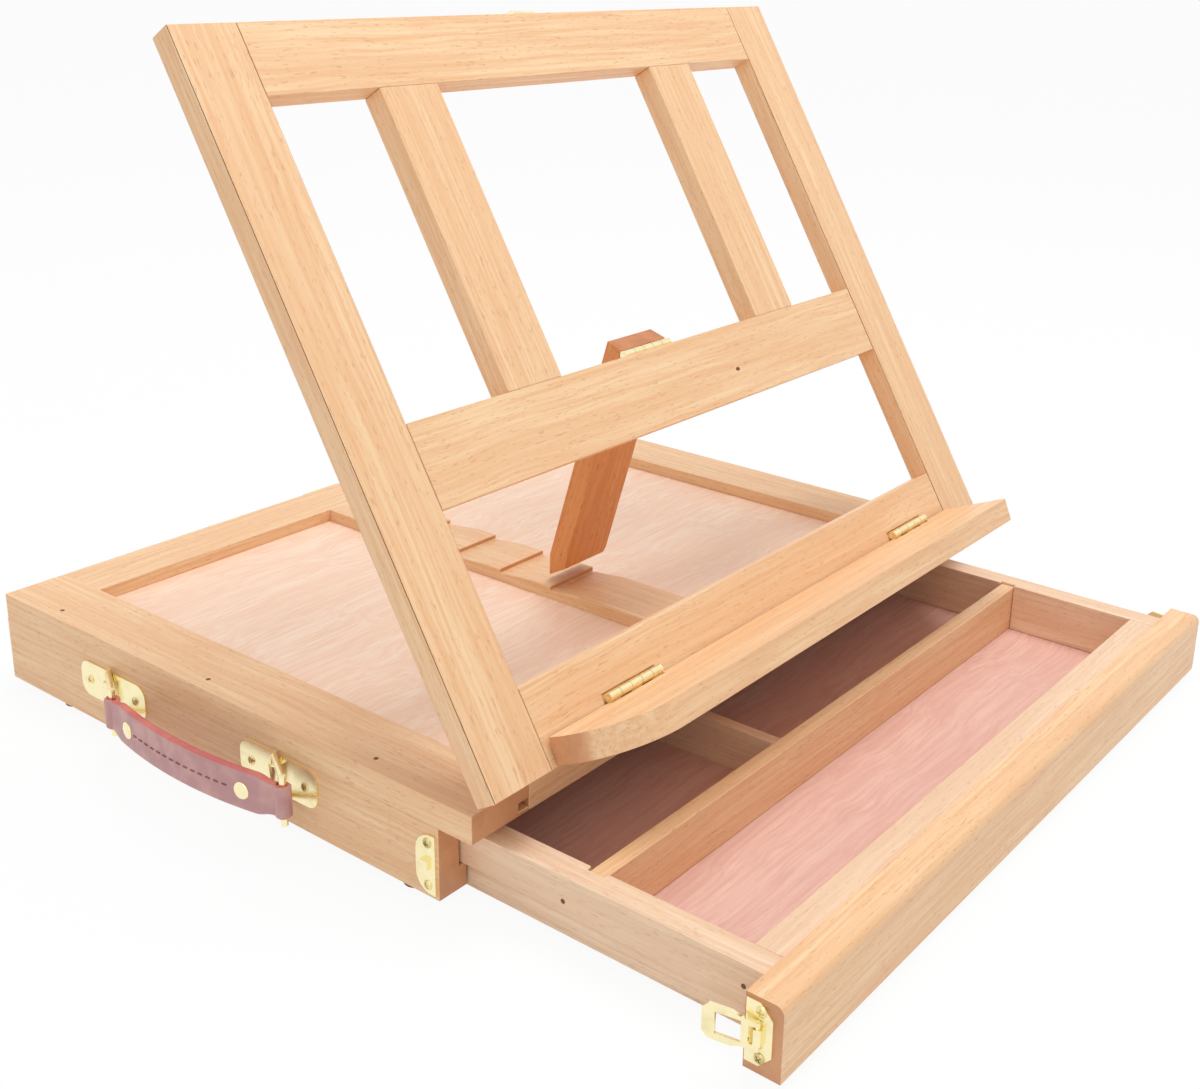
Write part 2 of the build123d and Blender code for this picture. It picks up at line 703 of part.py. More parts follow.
ring_rise = handle_plate_thickness + ring_wire_radius + pin_clearance
handle_pivots = [(-half_width - ring_rise, y) for y in (handle_back_y, handle_front_y)]
handle_plates = []
for y in (handle_back_y, handle_front_y):
    plate_at = upright(-half_width, y, handle_height, -1)
    handle_plates.append(plate_at * handle_plate())
    for x in (-handle_screw_half, handle_screw_half):
        box_screws.append(place_at(plate_at, x, 0) * screw(handle_plate_thickness))
        nodes["box_left_side"] -= place_at(plate_at, x, 0) * pilot()
nodes["handle_plates"] = handle_plates
nodes["box_screws"] = box_screws


def ring(pivot):
    """A bent wire ring that reaches out and forward from the bar inside the curl."""
    reach = (-math.sin(math.radians(ring_angle)), -math.cos(math.radians(ring_angle)), 0)
    facing = (-math.cos(math.radians(ring_angle)), math.sin(math.radians(ring_angle)), 0)
    at = Plane(origin=(pivot[0], pivot[1], handle_height), x_dir=reach, z_dir=facing)
    arm = Cylinder(ring_wire_radius, ring_length)
    post = rod((0, 0, 0), "Y", ring_wire_radius, 2 * (ring_half_height + ring_wire_radius))
    wire = post + Pos(ring_length, 0, 0) * post
    for y in (-ring_half_height, ring_half_height):
        wire += Pos(ring_length / 2, y, 0) * Rot(0, 90, 0) * arm
    return Location(at) * wire


def strap_bar(pivot):
    """Where the ring's outer bar stands, seen from above."""
    return (pivot[0] - ring_length * math.sin(math.radians(ring_angle)),
            pivot[1] - ring_length * math.cos(math.radians(ring_angle)))


back_bar = strap_bar(handle_pivots[0])
front_bar_at = strap_bar(handle_pivots[1])
strap_middle = (back_bar[0] - strap_bulge, (back_bar[1] + front_bar_at[1]) / 2)
strap_line = ThreePointArc(back_bar, strap_middle, front_bar_at)


def rivet_plane(inset):
    """Plane through the strap at a distance from one end, facing away from the box."""
    share = inset / strap_line.length
    point, along_strap = strap_line @ share, strap_line % share
    return Plane(origin=(point.X, point.Y, handle_height), x_dir=(0, 0, 1),
                 z_dir=(along_strap.Y, -along_strap.X, 0))


rivet_planes = [rivet_plane(rivet_inset), rivet_plane(strap_line.length - rivet_inset)]
if rivet_planes[0].z_dir.X > 0:
    rivet_planes = [Plane(origin=p.origin, x_dir=p.x_dir, z_dir=-p.z_dir) for p in rivet_planes]


def rivet(plane):
    half = strap_thickness / 2 + rivet_seat
    shank = Cylinder(rivet_shank_radius, 2 * half)
    head = Pos(0, 0, half + rivet_rise / 2) * Cylinder(rivet_radius, rivet_rise)
    washer = Pos(0, 0, -half - rivet_rise / 2) * Cylinder(rivet_radius * 0.8, rivet_rise)
    return Location(plane) * (shank + head + washer)


def strap():
    """A folded leather band, bowed away from the box, with an eye round each ring."""
    band = trace(strap_line, line_width=strap_thickness)
    eyes = (back_bar, front_bar_at)
    for x, y in eyes:
        band += Pos(x, y, 0) * Circle(strap_end_radius)
    low = handle_height - strap_height / 2
    body = Pos(0, 0, low) * extrude(band, amount=strap_height)
    back, front = back_bar[1] + strap_end_radius, front_bar_at[1] - strap_end_radius
    half, narrow = strap_height / 2, ring_half_height - ring_wire_radius - strap_end_gap
    side = [(front, -narrow), (front + strap_taper, -narrow), (front + 2 * strap_taper, -half),
            (back - 2 * strap_taper, -half), (back - strap_taper, -narrow), (back, -narrow),
            (back, narrow), (back - strap_taper, narrow), (back - 2 * strap_taper, half),
            (front + 2 * strap_taper, half), (front + strap_taper, narrow), (front, narrow)]
    cutter = prism_x([(y, handle_height + z) for y, z in side], back_bar[0] - strap_bulge - strap_height,
                     back_bar[0] + strap_height)
    body &= cutter
    for (x, y), clearance in zip(eyes, (pin_clearance, open_pivot_gap)):
        body -= rod((x, y, handle_height), "Z", ring_wire_radius + clearance, strap_height)
    for plane in rivet_planes:
        body -= Location(plane) * Cylinder(rivet_shank_radius + pin_clearance, strap_thickness * 2)
    return body


nodes["handle_ring_back"] = ring(handle_pivots[0])
nodes["handle_ring_front"] = ring(handle_pivots[1])
nodes["handle_strap"] = strap()
nodes["handle_rivets"] = [rivet(plane) for plane in rivet_planes]


# The part's origin: the middle of its footprint, on the table
def gather(piece):
    return Compound(children=list(piece)) if isinstance(piece, list) else piece


shapes = {name: gather(piece) for name, piece in nodes.items()}
boxes = [shape.bounding_box() for shape in shapes.values()]
low = [min(getattr(box.min, axis) for box in boxes) for axis in "XYZ"]
high = [max(getattr(box.max, axis) for box in boxes) for axis in "XYZ"]
shift = Vector(-(low[0] + high[0]) / 2, -(low[1] + high[1]) / 2, -low[2])

os.makedirs("parts", exist_ok=True)
for name, shape in shapes.items():
    export_step(Pos(*shift) * shape, "parts/%s.step" % name)


def tell(name, point):
    place = Vector(*point) + shift
    print("%s at %.3f %.3f %.3f mm" % (name, place.X, place.Y, place.Z))


def origin_of(location):
    return tuple(location.position)


print("nodes", len(shapes), "size", [round(b - a, 2) for a, b in zip(low, high)])
print("shift %.3f %.3f %.3f" % tuple(shift))
tell("frame hinge", hinge_axis)
tell("prop hinge", origin_of(prop_fixed))
tell("ledge hinge", origin_of(ledge_fixed))
tell("left latch pivot", (-half_width - latch_pivot_rise, pivot_y, latch_height))
tell("right latch pivot", (half_width + latch_pivot_rise, pivot_y, latch_height))
tell("catch pivot", origin_of(catch_at * Pos(0, 0, latch_pivot_rise)))
tell("back ring pivot", (*handle_pivots[0], handle_height))
tell("front ring pivot", (*handle_pivots[1], handle_height))
tell("strap pivot", (*back_bar, handle_height))
tell("drawer", (0, bar_back_y, latch_height))
tell("foot", (-foot_x, foot_front_y, 0))
print("prop fold %.2f deg, ratio %.5f" % (prop_fold, -prop_fold / frame_tilt))
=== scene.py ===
import json
import math
import bmesh
import bpy
from mathutils import Matrix, Vector


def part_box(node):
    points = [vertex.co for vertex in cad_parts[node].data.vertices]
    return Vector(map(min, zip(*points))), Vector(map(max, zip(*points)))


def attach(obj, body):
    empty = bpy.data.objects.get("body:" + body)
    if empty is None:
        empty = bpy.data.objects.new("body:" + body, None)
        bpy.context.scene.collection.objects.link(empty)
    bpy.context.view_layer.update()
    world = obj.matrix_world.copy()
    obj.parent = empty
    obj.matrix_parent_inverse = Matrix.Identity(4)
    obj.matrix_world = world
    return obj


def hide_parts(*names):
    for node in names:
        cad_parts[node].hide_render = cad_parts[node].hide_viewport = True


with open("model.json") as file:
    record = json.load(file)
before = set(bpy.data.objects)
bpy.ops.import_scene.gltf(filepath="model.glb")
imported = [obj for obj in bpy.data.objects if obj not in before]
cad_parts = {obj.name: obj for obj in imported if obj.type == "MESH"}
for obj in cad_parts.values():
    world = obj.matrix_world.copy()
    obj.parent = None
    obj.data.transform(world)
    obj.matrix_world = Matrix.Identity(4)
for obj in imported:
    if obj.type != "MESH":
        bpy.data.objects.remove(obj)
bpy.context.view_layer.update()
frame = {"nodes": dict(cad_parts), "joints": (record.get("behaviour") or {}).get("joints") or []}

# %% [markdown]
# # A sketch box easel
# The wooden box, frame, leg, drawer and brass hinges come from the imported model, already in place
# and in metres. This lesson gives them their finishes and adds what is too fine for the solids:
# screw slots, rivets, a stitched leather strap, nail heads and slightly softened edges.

MM = 0.001
nodes = frame["nodes"]
joints = {joint["name"]: joint for joint in frame["joints"]}

# %% [markdown]
# ## Long grain, shared by every wood
# Planed wood shows thin streaks along the plank, broad slow bands of tone, and in beech the short
# dark dashes called rays. Cut across the plank all of that turns into darker pores. One node group
# makes these masks. It squeezes space along the grain, so noise is drawn out into streaks, and it
# reads object coordinates, so the grain stays on a piece when it moves. A picture texture could not
# follow each plank like this.

# %% Helpers for node groups
def new_group(name, inputs, outputs):
    group = bpy.data.node_groups.new(name, "ShaderNodeTree")
    for label, kind, value in inputs:
        socket = group.interface.new_socket(label, in_out="INPUT", socket_type=kind)
        socket.default_value = value
    for label, kind in outputs:
        group.interface.new_socket(label, in_out="OUTPUT", socket_type=kind)
    return group, group.nodes.new("NodeGroupInput"), group.nodes.new("NodeGroupOutput")


def math_node(tree, operation, a, b=None):
    node = tree.nodes.new("ShaderNodeMath")
    node.operation = operation
    for index, value in enumerate((a, b)):
        if value is None:
            continue
        if isinstance(value, (int, float)):
            node.inputs[index].default_value = value
        else:
            tree.links.new(value, node.inputs[index])
    return node.outputs[0]


def times(tree, a, b):
    return math_node(tree, "MULTIPLY", a, b)


def vector_node(tree, operation, a, b=None, scale=None):
    node = tree.nodes.new("ShaderNodeVectorMath")
    node.operation = operation
    tree.links.new(a, node.inputs[0])
    if b is not None:
        tree.links.new(b, node.inputs[1])
    if scale is not None:
        tree.links.new(scale, node.inputs["Scale"])
    return node


def noise(tree, where, scale, detail=3.0, rough=0.5):
    node = tree.nodes.new("ShaderNodeTexNoise")
    node.inputs["Scale"].default_value = scale
    node.inputs["Detail"].default_value = detail
    node.inputs["Roughness"].default_value = rough
    tree.links.new(where, node.inputs["Vector"])
    return node.outputs["Fac"]


def remap(tree, value, low, high):
    node = tree.nodes.new("ShaderNodeMapRange")
    node.interpolation_type = "SMOOTHSTEP"
    node.inputs["From Min"].default_value = low
    node.inputs["From Max"].default_value = high
    tree.links.new(value, node.inputs["Value"])
    return node.outputs["Result"]


# %% Build the long grain group
# A scale counts the cells of noise to a metre across the plank. A keep is the share of the plank's
# length that the noise still sees, so a small keep draws long streaks.
WANDER_SCALE = 14.0
STREAK_SCALE, STREAK_KEEP = 620.0, 0.03
BAND_SCALE, BAND_KEEP = 95.0, 0.06
RAY_SCALE, RAY_KEEP = 1500.0, 0.16
BAND_STRENGTH, PORE_STRENGTH, END_STRENGTH = 0.55, 0.5, 0.85


def squeezed(tree, place, along, keep):
    """Space with its length along the grain kept only in part."""
    reach = vector_node(tree, "DOT_PRODUCT", place, along).outputs["Value"]
    shift = vector_node(tree, "SCALE", along, scale=times(tree, reach, keep - 1.0))
    return vector_node(tree, "ADD", place, shift.outputs["Vector"]).outputs["Vector"]


def wandering(group, where, waviness):
    """The same place, pushed to and fro a little, so that the grain wanders."""
    push = math_node(group, "SUBTRACT", noise(group, where, WANDER_SCALE, 2.0), 0.5)
    push = times(group, push, waviness)
    bend = group.nodes.new("ShaderNodeCombineXYZ")
    for axis in "XYZ":
        group.links.new(push, bend.inputs[axis])
    return vector_node(group, "ADD", where, bend.outputs["Vector"]).outputs["Vector"]


def build_long_grain():
    group, given, out = new_group(
        "long_grain",
        [("Along", "NodeSocketVector", (1, 0, 0)), ("Shift", "NodeSocketVector", (0, 0, 0)),
         ("Waviness", "NodeSocketFloat", 0.004), ("Ray Strength", "NodeSocketFloat", 0.35)],
        [(label, "NodeSocketFloat")
         for label in ("Streaks", "Bands", "Rays", "Pores", "End", "Relief")])
    here = group.nodes.new("ShaderNodeTexCoord")
    along = given.outputs["Along"]
    moved = vector_node(group, "ADD", here.outputs["Object"], given.outputs["Shift"]).outputs["Vector"]
    place = wandering(group, moved, given.outputs["Waviness"])
    fine = noise(group, squeezed(group, place, along, STREAK_KEEP), STREAK_SCALE, 4.0, 0.6)
    broad = noise(group, squeezed(group, place, along, BAND_KEEP), BAND_SCALE, 2.0)
    flecks = noise(group, squeezed(group, place, along, RAY_KEEP), RAY_SCALE, 1.0)
    end_on = vector_node(group, "DOT_PRODUCT", here.outputs["Normal"], along).outputs["Value"]
    end_on = math_node(group, "ABSOLUTE", end_on)
    masks = {
        "Streaks": remap(group, fine, 0.3, 0.7),
        "Bands": times(group, remap(group, broad, 0.35, 0.7), BAND_STRENGTH),
        "Rays": times(group, remap(group, flecks, 0.62, 0.72), given.outputs["Ray Strength"]),
        "Pores": times(group, remap(group, broad, 0.42, 0.6), PORE_STRENGTH),
        "End": times(group, remap(group, end_on, 0.88, 0.96), END_STRENGTH),
        "Relief": fine,
    }
    for label, value in masks.items():
        group.links.new(value, out.inputs[label])
    return group


long_grain = build_long_grain()
print("long grain group", len(long_grain.nodes), "nodes")

# %% [markdown]
# ## Wood finishes
# Beech, the more orange beech of the leg, pale plywood, the drawer's paler sides and pinkish floor
# and the red-brown feet differ in colour, in how strong the rays are and in how far the grain
# wanders. The Principled shader stays in each material, and only the masks come from the group.

# %% Mixing helpers inside a material
def mix_colour(tree, amount, a, b):
    node = tree.nodes.new("ShaderNodeMix")
    node.data_type = "RGBA"
    tree.links.new(amount, node.inputs["Factor"])
    for index, value in ((6, a), (7, b)):
        if isinstance(value, tuple):
            node.inputs[index].default_value = value
        else:
            tree.links.new(value, node.inputs[index])
    return node.outputs[2]


def srgb(red, green, blue):
    """A colour as seen on screen, from 0 to 255, turned to the linear values that Blender mixes."""
    def linear(value):
        part = value / 255
        return part / 12.92 if part <= 0.04045 else ((part + 0.055) / 1.055) ** 2.4
    return (linear(red), linear(green), linear(blue), 1.0)


def start_material(name, roughness):
    material = bpy.data.materials.new(name)
    material.use_nodes = True
    tree = material.node_tree
    shader = tree.nodes["Principled BSDF"]
    shader.inputs["Roughness"].default_value = roughness
    return material, tree, shader


BUMP_STRENGTH = 0.6


def bump(tree, shader, height, distance):
    node = tree.nodes.new("ShaderNodeBump")
    node.inputs["Strength"].default_value = BUMP_STRENGTH
    node.inputs["Distance"].default_value = distance
    tree.links.new(height, node.inputs["Height"])
    tree.links.new(node.outputs["Normal"], shader.inputs["Normal"])


# %% Make a wood
WOODS = {
    "beech": dict(light=srgb(246, 211, 168), dark=srgb(234, 184, 136), ray=srgb(188, 126, 82),
                  end=srgb(206, 144, 100), rays=0.34, wave=0.004, rough=0.42),
    "plywood": dict(light=srgb(253, 230, 210), dark=srgb(246, 208, 182), ray=srgb(232, 184, 152),
                    end=srgb(206, 160, 128), rays=0.15, wave=0.03, rough=0.5),
    "orange_beech": dict(light=srgb(240, 168, 102), dark=srgb(222, 142, 78), ray=srgb(160, 92, 52),
                         end=srgb(190, 120, 76), rays=0.45, wave=0.004, rough=0.42),
    "pale_beech": dict(light=srgb(244, 216, 186), dark=srgb(230, 192, 158), ray=srgb(196, 150, 118),
                       end=srgb(206, 160, 128), rays=0.35, wave=0.005, rough=0.52),
    "drawer_plywood": dict(light=srgb(238, 200, 186), dark=srgb(224, 176, 162),
                           ray=srgb(198, 148, 136), end=srgb(186, 138, 124), rays=0.2, wave=0.018,
                           rough=0.58),
    "stained_wood": dict(light=srgb(202, 106, 78), dark=srgb(168, 80, 58), ray=srgb(120, 54, 40),
                         end=srgb(140, 66, 46), rays=0.4, wave=0.004, rough=0.45),
}


# how deep the grain is felt, and how far the grain moves on from one plank to the next
GRAIN_RELIEF = 0.12 * MM
PLANK_SHIFT = (0.137, 0.071, 0.053)


def wood(kind, along, number):
    finish = WOODS[kind]
    material, tree, shader = start_material(f"{kind}_{number}", finish["rough"])
    grain = tree.nodes.new("ShaderNodeGroup")
    grain.node_tree = long_grain
    grain.inputs["Along"].default_value = along
    grain.inputs["Shift"].default_value = [step * number for step in PLANK_SHIFT]
    grain.inputs["Waviness"].default_value = finish["wave"]
    grain.inputs["Ray Strength"].default_value = finish["rays"]
    tone = mix_colour(tree, grain.outputs["Streaks"], finish["light"], finish["dark"])
    tone = mix_colour(tree, grain.outputs["Bands"], tone, finish["dark"])
    tone = mix_colour(tree, grain.outputs["Rays"], tone, finish["ray"])
    end_tone = mix_colour(tree, grain.outputs["Pores"], finish["end"], finish["ray"])
    tone = mix_colour(tree, grain.outputs["End"], tone, end_tone)
    tree.links.new(tone, shader.inputs["Base Color"])
    bump(tree, shader, grain.outputs["Relief"], GRAIN_RELIEF)
    return material


print("wood finishes", sorted(WOODS))

# %% [markdown]
# ## Give every plank its grain
# A maker lays the grain along the length of each stick. The frame leans, so its long direction is
# read from its tilt, and the leg has its own. Every plank gets its own shift, so no two match.

# %% Directions and wood nodes
# the frame folds down flat on the box, so its travel is its tilt
TILT = math.radians(-joints["frame_fold"]["range_deg"][0])
ACROSS, DEPTH = (1, 0, 0), (0, 1, 0)
UP_FRAME = (0, math.cos(TILT), math.sin(TILT))
leg_low, leg_high = (Vector(c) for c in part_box("prop_leg"))
leg_run = Vector((0, leg_high.y - leg_low.y, -(leg_high.z - leg_low.z))).normalized()
PLANKS = {
    "beech": {
        ACROSS: ["rim_back_rail", "rim_front_rail", "box_back", "bottom_rail", "middle_rail",
                 "top_rail", "ledge_board", "drawer_front_bar", "drawer_long_partition"],
        DEPTH: ["rim_left_rail", "rim_right_rail", "notched_strip", "box_left_side",
                "box_right_side"],
        UP_FRAME: ["stile_left", "stile_right", "slat_left", "slat_right"]},
    "orange_beech": {tuple(leg_run): ["prop_leg"]},
    "plywood": {ACROSS: ["top_panel"]},
    "pale_beech": {
        DEPTH: ["drawer_left_side", "drawer_right_side", "drawer_short_divider"],
        ACROSS: ["drawer_inner_front", "drawer_back"]},
    "drawer_plywood": {ACROSS: ["drawer_floor"]},
    "stained_wood": {ACROSS: ["feet"]},
}


def dress(name, material):
    data = nodes[name].data
    data.materials.clear()
    data.materials.append(material)


dressed = set()
for kind, runs in PLANKS.items():
    for along, names in runs.items():
        for name in names:
            dress(name, wood(kind, along, len(dressed) + 1))
            dressed.add(name)
print("wooden pieces", len(dressed))

# %% [markdown]
# ## Softened edges
# Sanding takes the sharpness off every wooden edge, and that thin rounded line is what catches the
# light at each joint. The solids keep exact corners, so a bevel modifier does it here without
# changing the mesh. The weld joins the split corners first, or the bevel would find no edges, and
# the last modifier lets the big faces set the shading, so they stay flat to the eye. The ledge and
# the drawer's front bar are already rounded in the solids, so they keep their corners and only get
# even shading.

# %% Round the edges a little
WELD_GAP = 0.01 * MM
EDGE, THIN_EDGE = 0.5 * MM, 0.3 * MM
SHARP, CORNER = math.radians(40), math.radians(30)
ROUNDED = ("ledge_board", "drawer_front_bar")


def weld(piece):
    piece.modifiers.new("weld", "WELD").merge_threshold = WELD_GAP


def even_shading(piece):
    even = piece.modifiers.new("even", "WEIGHTED_NORMAL")
    even.mode, even.weight = "FACE_AREA", 100


def soften(piece, width):
    weld(piece)
    round_over = piece.modifiers.new("edge", "BEVEL")
    round_over.width = width
    round_over.segments = 2
    round_over.limit_method = "ANGLE"
    round_over.angle_limit = SHARP
    round_over.use_clamp_overlap = True
    round_over.harden_normals = True
    even_shading(piece)


def keep_corners(piece):
    weld(piece)
    piece.modifiers.new("corners", "EDGE_SPLIT").split_angle = CORNER
    even_shading(piece)


for name in sorted(dressed.difference(ROUNDED)):
    soften(nodes[name], THIN_EDGE if name in ("top_panel", "feet") else EDGE)
for name in ROUNDED:
    keep_corners(nodes[name])
print("softened", len(dressed) - len(ROUNDED), "and only evened", len(ROUNDED))

# %% [markdown]
# ## Brass
# Stamped brass plate is bright and pale, with darker olive patches where hands and air reached it.
# The patches are a group, because the plates and the screws share them at different strengths.

# %% Brass with its patina
PATCH_SCALE, SCRATCH_SCALE = 130.0, 2400.0
PATCH_ROUGHNESS, SCRATCH_RELIEF = 0.3, 0.03 * MM


def build_patina():
    group, given, out = new_group("patina", [("Amount", "NodeSocketFloat", 0.4)],
                                  [("Mask", "NodeSocketFloat"), ("Scratches", "NodeSocketFloat")])
    here = group.nodes.new("ShaderNodeTexCoord").outputs["Object"]
    mask = remap(group, noise(group, here, PATCH_SCALE, 3.0, 0.5), 0.42, 0.8)
    group.links.new(times(group, mask, given.outputs["Amount"]), out.inputs["Mask"])
    group.links.new(noise(group, here, SCRATCH_SCALE, 2.0), out.inputs["Scratches"])
    return group


patina = build_patina()


def brass(name, bright, dull, amount, roughness):
    material, tree, shader = start_material(name, roughness)
    shader.inputs["Metallic"].default_value = 1.0
    spots = tree.nodes.new("ShaderNodeGroup")
    spots.node_tree = patina
    spots.inputs["Amount"].default_value = amount
    tree.links.new(mix_colour(tree, spots.outputs["Mask"], bright, dull), shader.inputs["Base Color"])
    rough = math_node(tree, "ADD", times(tree, spots.outputs["Mask"], PATCH_ROUGHNESS), roughness)
    tree.links.new(rough, shader.inputs["Roughness"])
    bump(tree, shader, spots.outputs["Scratches"], SCRATCH_RELIEF)
    return material


plate_brass = brass("brass_plate", srgb(252, 240, 194), srgb(206, 184, 118), 0.3, 0.2)
screw_brass = brass("brass_screw", srgb(238, 220, 160), srgb(142, 122, 70), 0.7, 0.28)
METAL = [n for n in nodes if n not in dressed and n != "handle_strap"]
for name in METAL:
    dress(name, plate_brass)
print("brass pieces", len(METAL))

# %% [markdown]
# ## Screws with crossed slots
# The solids hold each screw as a plain few-sided peg. A real one has a domed head with a cross cut
# into it, so a head is turned as a lathe profile, and two bars are cut out of it. Each peg in the
# solids tells where its head goes, and the copies replace the pegs.

# %% Find each peg and the way it points
def islands(name):
    """The separate pegs of a node, each as a list of points, in the order of the mesh."""
    made = bmesh.new()
    made.from_mesh(nodes[name].data)
    bmesh.ops.remove_doubles(made, verts=made.verts, dist=WELD_GAP)
    left, groups = set(made.verts), []
    for first in made.verts:
        if first not in left:
            continue
        left.discard(first)
        stack, points = [first], []
        while stack:
            vert = stack.pop()
            points.append(vert.co.copy())
            for edge in vert.link_edges:
                other = edge.other_vert(vert)
                if other in left:
                    left.discard(other)
                    stack.append(other)
        groups.append(points)
    made.free()
    return groups


SEEDS = ((1, 0, 0), (0, 1, 0), (0, 0, 1), (0, 1, 1), (0, -1, 1))
TURNS_TO_SETTLE, RIM_REACH = 40, 0.2 * MM


def peg_frame(points):
    """Centre of the head's outer face, the direction the head faces, and the peg's length."""
    middle = sum(points, Vector()) / len(points)
    spread = Matrix(((0, 0, 0), (0, 0, 0), (0, 0, 0)))
    for p in points:
        d = p - middle
        for i in range(3):
            for j in range(3):
                spread[i][j] += d[i] * d[j]
    # a peg spreads most along its shank, and each product with the spread turns a direction that
    # way; one that starts square to the shank stays there, so the longest reach of several wins
    best = None
    for seed in SEEDS:
        axis = Vector(seed).normalized()
        for _ in range(TURNS_TO_SETTLE):
            axis = (spread @ axis).normalized()
        reach = [(p - middle).dot(axis) for p in points]
        length = max(reach) - min(reach)
        if best is None or length > best[0]:
            best = (length, axis, max(reach), min(reach))
    length, axis, top, bottom = best

    def width_at(level):
        return max((p - middle - axis * (p - middle).dot(axis)).length for p in points
                   if abs((p - middle).dot(axis) - level) < RIM_REACH)
    if width_at(bottom) > width_at(top):
        axis, top = -axis, -bottom
    return middle + axis * top, axis, length


# %% Turn one head and cut the cross
def ring(made, radius, height, sides, place):
    """Points round an axis, carried to their place by a matrix."""
    angles = [2 * math.pi * k / sides for k in range(sides)]
    return [made.verts.new(place @ Vector((radius * math.cos(angle), radius * math.sin(angle), height)))
            for angle in angles]


def lathe(profile, sides):
    """A closed turned form from (radius, height) pairs, the first and last on the axis."""
    made, upright = bmesh.new(), Matrix.Identity(4)
    rings = [ring(made, radius, height, sides if radius else 1, upright) for radius, height in profile]
    for lower, upper in zip(rings, rings[1:]):
        for k in range(sides):
            j = (k + 1) % sides
            corners = [lower[k % len(lower)], lower[j % len(lower)], upper[j % len(upper)],
                       upper[k % len(upper)]]
            corners = list(dict.fromkeys(corners))
            if len(corners) > 2:
                made.faces.new(corners)
    bmesh.ops.recalc_face_normals(made, faces=made.faces)
    return made


def to_object(made, name, material, smooth=True):
    data = bpy.data.meshes.new(name)
    made.to_mesh(data)
    made.free()
    for face in data.polygons:
        face.use_smooth = smooth
    piece = bpy.data.objects.new(name, data)
    bpy.context.scene.collection.objects.link(piece)
    data.materials.append(material)
    return piece


HEAD, HEAD_SIDES, DOME_TOP = 1.9 * MM, 28, 0.9 * MM
SLOT_LONG, SLOT_WIDE, SLOT_DEEP = HEAD * 1.25, 0.42 * MM, 1.1 * MM
dome = [(0, -0.6 * MM), (HEAD, -0.6 * MM), (HEAD, 0.0), (HEAD * 0.93, 0.3 * MM),
        (HEAD * 0.75, 0.55 * MM), (HEAD * 0.45, 0.8 * MM), (0, DOME_TOP)]


def slotted_head():
    head = to_object(lathe(dome, HEAD_SIDES), "slot_master", screw_brass)
    bars = []
    for turn in (0, 90):
        bar = bmesh.new()
        bmesh.ops.create_cube(bar, size=1.0, matrix=Matrix.Rotation(math.radians(turn), 4, "Z")
                              @ Matrix.Translation((0, 0, DOME_TOP))
                              @ Matrix.Diagonal((SLOT_LONG, SLOT_WIDE, SLOT_DEEP, 1)))
        bars.append(to_object(bar, f"slot_tool_{turn}", screw_brass))
        cut = head.modifiers.new(f"slot_{turn}", "BOOLEAN")
        cut.operation, cut.object, cut.solver = "DIFFERENCE", bars[-1], "EXACT"
    ready = bpy.data.meshes.new_from_object(
        head.evaluated_get(bpy.context.evaluated_depsgraph_get()))
    for piece in [head] + bars:
        bpy.data.objects.remove(piece)
    return ready


head_mesh = slotted_head()
print("one screw head", len(head_mesh.polygons), "faces")

# %% Set a head on every peg
TURN_STEP = math.radians(37)


def facing(place, way):
    """A matrix that stands a turned form at a place, looking one way."""
    return Matrix.Translation(Vector(place)) @ Vector(way).to_track_quat("Z", "Y").to_matrix().to_4x4()


def screw_set(node, body):
    made, lengths = bmesh.new(), []
    for number, points in enumerate(islands(node)):
        top, axis, length = peg_frame(points)
        lengths.append(length)
        turn = Matrix.Rotation(TURN_STEP * number, 4, "Z")
        copy = head_mesh.copy()
        copy.transform(facing(top - axis * DOME_TOP, axis) @ turn)
        made.from_mesh(copy)
        bpy.data.meshes.remove(copy)
    piece = to_object(made, node + "_heads", screw_brass, smooth=False)
    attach(piece, body)
    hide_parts(node)
    print(node, len(lengths), "screws, lengths", round(min(lengths), 4), round(max(lengths), 4))


screw_set("box_screws", "box")
screw_set("latch_screws", "drawer")
screw_set("catch_screws", "easel_frame")

# %% [markdown]
# ## The leather strap
# The handle is a folded leather band, bowed away from the box, with a dashed stitch along its middle
# and a red painted edge on top. A solid band with square corners would look like plastic, so the
# section here is a rounded one swept along the bow, narrower at both ends, where it turns round the
# brass rings. Leather, its red edge and the thread share one group for their pebbled, worn surface.

# %% Leather and thread
WORN_SCALE, PEBBLE_RELIEF = 120.0, 0.12 * MM


def build_hide():
    group, given, out = new_group("hide", [("Pebble Scale", "NodeSocketFloat", 1400.0)],
                                  [("Worn", "NodeSocketFloat"), ("Pebbles", "NodeSocketFloat")])
    here = group.nodes.new("ShaderNodeTexCoord").outputs["Object"]
    cells = group.nodes.new("ShaderNodeTexVoronoi")
    group.links.new(here, cells.inputs["Vector"])
    group.links.new(given.outputs["Pebble Scale"], cells.inputs["Scale"])
    group.links.new(cells.outputs["Distance"], out.inputs["Pebbles"])
    group.links.new(remap(group, noise(group, here, WORN_SCALE, 4.0), 0.35, 0.7), out.inputs["Worn"])
    return group


hide = build_hide()


def leather(name, base, worn, roughness):
    material, tree, shader = start_material(name, roughness)
    surface = tree.nodes.new("ShaderNodeGroup")
    surface.node_tree = hide
    tree.links.new(mix_colour(tree, surface.outputs["Worn"], base, worn), shader.inputs["Base Color"])
    bump(tree, shader, surface.outputs["Pebbles"], PEBBLE_RELIEF)
    return material


plum = leather("leather_plum", srgb(190, 142, 142), srgb(208, 162, 156), 0.44)
red_edge = leather("leather_red_edge", srgb(206, 104, 100), srgb(220, 130, 118), 0.42)
thread = leather("stitch_thread", srgb(140, 84, 84), srgb(160, 104, 100), 0.7)
print("leathers", [material.name for material in (plum, red_edge, thread)])

